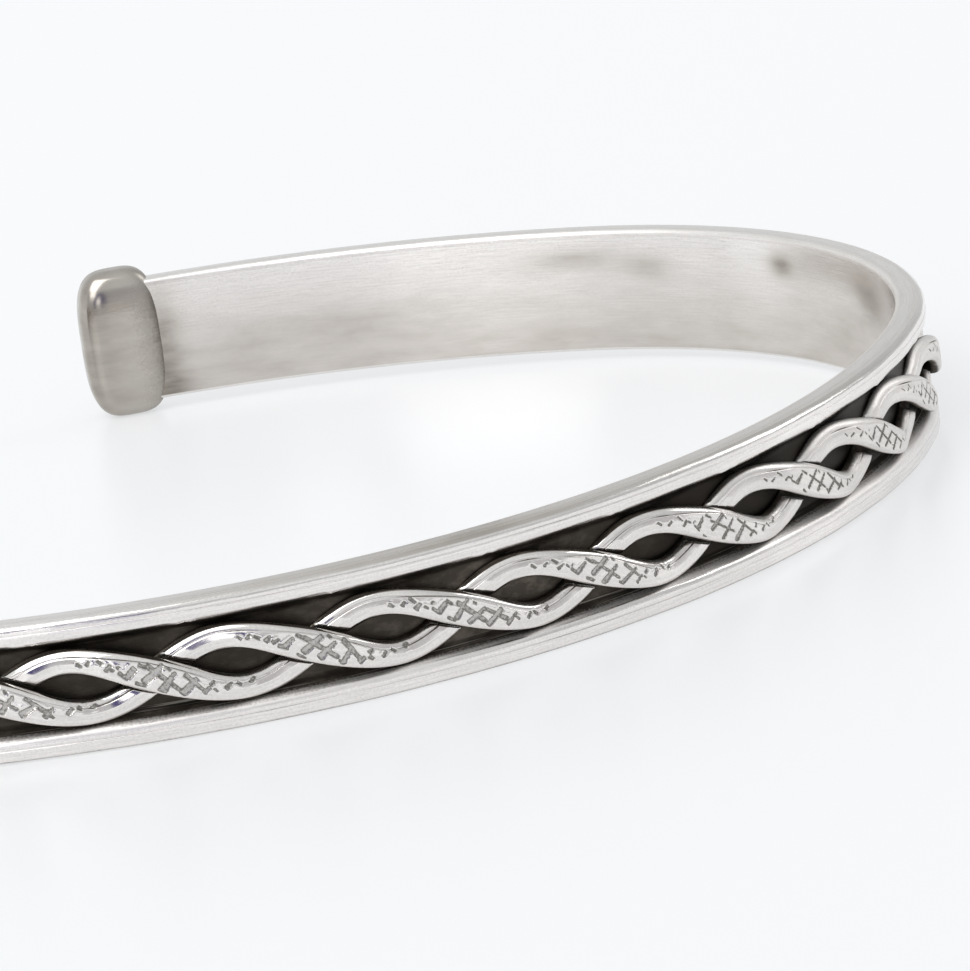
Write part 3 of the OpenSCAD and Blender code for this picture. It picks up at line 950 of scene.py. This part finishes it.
strand_finish = silver("stamped_silver", STRAND_COLOUR, STRAND_STREAKS, True)
for name, first_over, seed in STRANDS:
    strand = make_strand("braid_strand_%s_stamped" % name, first_over, seed)
    strand.data.materials.append(strand_finish)
    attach(strand, "root")
    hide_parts("braid_strand_" + name)


# Half the floor's side, in metres, and its finish, with a little light of its own
FLOOR_HALF = 3.0
FLOOR_COLOUR = opaque((0.3, 0.303, 0.306))
FLOOR_GLOW, FLOOR_GLOW_STRENGTH = opaque((0.975, 0.985, 1.0)), 0.54
FLOOR_ROUGHNESS, FLOOR_SPECULAR = 0.3, 0.25


def make_floor():
    mesh = bpy.data.meshes.new("floor")
    h = FLOOR_HALF
    mesh.from_pydata([(-h, -h, 0), (h, -h, 0), (h, h, 0), (-h, h, 0)], [], [(0, 1, 2, 3)])
    floor = bpy.data.objects.new("floor", mesh)
    bpy.context.scene.collection.objects.link(floor)
    finish = bpy.data.materials.new("pale_floor")
    Nodes(finish).fill(
        "Principled BSDF",
        Base_Color=FLOOR_COLOUR, Roughness=FLOOR_ROUGHNESS, Specular_IOR_Level=FLOOR_SPECULAR,
        Emission_Color=FLOOR_GLOW, Emission_Strength=FLOOR_GLOW_STRENGTH,
    )
    mesh.materials.append(finish)


# Brightness of the studio, by the height and by the side that a direction points to, as
# positions and levels; its tint; a dimmer band low down in front; and how a border is eased
SKY = ((0.0, 1.0), (0.25, 0.95), (0.55, 0.82), (1.0, 0.84))
LEFT_TO_RIGHT = ((0.0, 1.0), (0.15, 0.97), (0.5, 0.8), (1.0, 0.58))
STUDIO_TINT = (0.985, 0.995, 1.0)
DIM_BAND = ((0.0, 0.35), (0.1, 1.0), (0.3, 1.0), (0.46, 0.0))
DIM_COLOUR = opaque((0.52, 0.515, 0.53))
IN_FRONT = (0.25, -0.2, 0.0, 0.9)
SOFT = "SMOOTHSTEP"

# A dark blue disc in the surroundings, in front and to the left, and a bright one in its
# middle: their direction, and the cosines of the angles that bound each one's soft edge
DISC_AZIMUTH, DISC_ELEVATION = math.radians(40), math.radians(7)
DARK_EDGE, DARK_COLOUR = (0.960, 0.973), opaque((0.07, 0.06, 0.19))
BRIGHT_EDGE, BRIGHT_COLOUR = (0.993, 0.9955), opaque((1.7, 1.7, 1.7))


def make_world():
    """A pale studio, less bright on the right, dimmer low down in front, with the two discs."""
    world = bpy.data.worlds.new("studio")
    bpy.context.scene.world = world
    n = Nodes(world)
    direction = n.add("ShaderNodeTexCoord", {}).outputs["Generated"]
    split = n.add("ShaderNodeSeparateXYZ", {0: direction}).outputs
    studio = n.mix(1.0, n.ramp(split["Z"], SKY), n.ramp(split["X"], LEFT_TO_RIGHT), "MULTIPLY")
    front = n.remap(split["Y"], *IN_FRONT, SOFT)
    dim = n.mix(1.0, n.ramp(split["Z"], DIM_BAND), front, "MULTIPLY")
    colour = n.mix(dim, studio, DIM_COLOUR)
    az, el = DISC_AZIMUTH, DISC_ELEVATION
    middle = (-math.sin(az) * math.cos(el), -math.cos(az) * math.cos(el), math.sin(el))
    facing = n.add("ShaderNodeVectorMath", {0: direction, 1: middle}, operation="DOT_PRODUCT")
    for (outer, inner), disc in ((DARK_EDGE, DARK_COLOUR), (BRIGHT_EDGE, BRIGHT_COLOUR)):
        covered = n.remap(facing.outputs["Value"], outer, inner, 0.0, 1.0, SOFT)
        colour = n.mix(covered, colour, disc)
    n.fill("Background", Color=colour, Strength=1.0)


# Softboxes, all turned to the middle of the cuff: name, place and size in metres, and power
SOFTBOXES = (
    ("softbox_above", (-0.35, -0.15, 0.55), (0.5, 0.5), 1.7),
    ("softbox_left", (-0.5, -0.25, 0.35), (0.3, 0.4), 0.8),
    ("softbox_right", (0.5, -0.1, 0.3), (0.2, 0.3), 0.4),
)


def make_softbox(name, place, size, power):
    light = bpy.data.lights.new(name, "AREA")
    light.shape = "RECTANGLE"
    light.size, light.size_y = size
    light.energy = power
    lamp = bpy.data.objects.new(name, light)
    bpy.context.scene.collection.objects.link(lamp)
    lamp.location = place
    lamp.rotation_euler = (-Vector(place)).to_track_quat("-Z", "Y").to_euler()


# The camera looks at a point of the cuff from in front, above and to the left of it, and
# is turned a little about its own line of sight. Its focal length is in pixels.
CAMERA_AZIMUTH = math.radians(-32.08)
CAMERA_ELEVATION = math.radians(14.21)
CAMERA_ROLL = math.radians(-8.61)
CAMERA_TARGET = (6.12, -10.65, 2.65)
CAMERA_DISTANCE = 371.0
FOCAL_PIXELS = 9398.0
IMAGE_LONG_SIDE = 971
SENSOR = 36.0
CLIP_NEAR, CLIP_FAR = 0.01, 20


def make_camera():
    az, el, roll = CAMERA_AZIMUTH, CAMERA_ELEVATION, CAMERA_ROLL
    back = Vector((math.sin(az) * math.cos(el), -math.cos(az) * math.cos(el), math.sin(el)))
    level = Vector((math.cos(az), math.sin(az), 0))
    up = back.cross(level)
    right = level * math.cos(roll) + up * math.sin(roll)
    top = up * math.cos(roll) - level * math.sin(roll)
    data = bpy.data.cameras.new("camera")
    data.sensor_width = SENSOR
    data.lens = FOCAL_PIXELS / IMAGE_LONG_SIDE * SENSOR
    data.clip_start, data.clip_end = CLIP_NEAR, CLIP_FAR
    camera = bpy.data.objects.new("camera", data)
    bpy.context.scene.collection.objects.link(camera)
    place = (Vector(CAMERA_TARGET) + back * CAMERA_DISTANCE) * MM
    turn = Matrix((right, top, back)).transposed().to_4x4()
    camera.matrix_world = Matrix.Translation(place) @ turn
    bpy.context.scene.camera = camera


make_floor()
make_world()
for softbox in SOFTBOXES:
    make_softbox(*softbox)
make_camera()
bpy.context.scene.view_settings.view_transform = "Standard"
